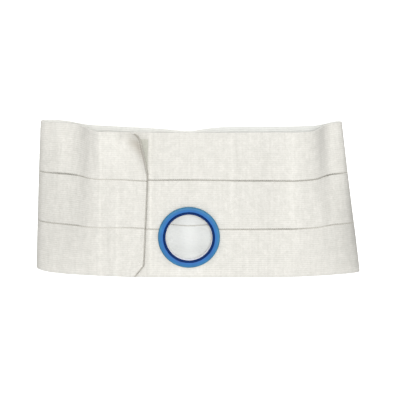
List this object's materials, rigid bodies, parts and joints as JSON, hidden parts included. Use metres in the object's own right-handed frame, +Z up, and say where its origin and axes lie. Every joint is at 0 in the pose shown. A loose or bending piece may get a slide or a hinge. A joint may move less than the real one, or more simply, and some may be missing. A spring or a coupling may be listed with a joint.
{
  "type": "ostomy support belt",
  "caption": "Wide elastic waist belt of sewn bands, closed with a lapped flap and standing as a flat loop, with a round ring for a pouch in front.",
  "frame": {"origin": "under the middle of the bounding box, on the surface that the belt stands on", "axes": "+X along the belt's width, towards the viewer's right when facing the ring; -Y is the front, where the ring and the flap are; +Z up"},
  "size_m": [0.5054, 0.0926, 0.2299],
  "materials": {
    "elastic": "matte ribbed elastic webbing, off-white",
    "hook": "matte hook tape, grey-white",
    "blue_plastic": "satin moulded plastic, mid blue",
    "navy_plastic": "satin moulded plastic, navy"
  },
  "bodies": {
    "root": {"band_lower": "elastic", "band_middle": "elastic", "band_upper": "elastic", "hook_strip": "hook", "ring_flange": "blue_plastic", "ring_sleeve": "navy_plastic"}
  },
  "joints": []
}
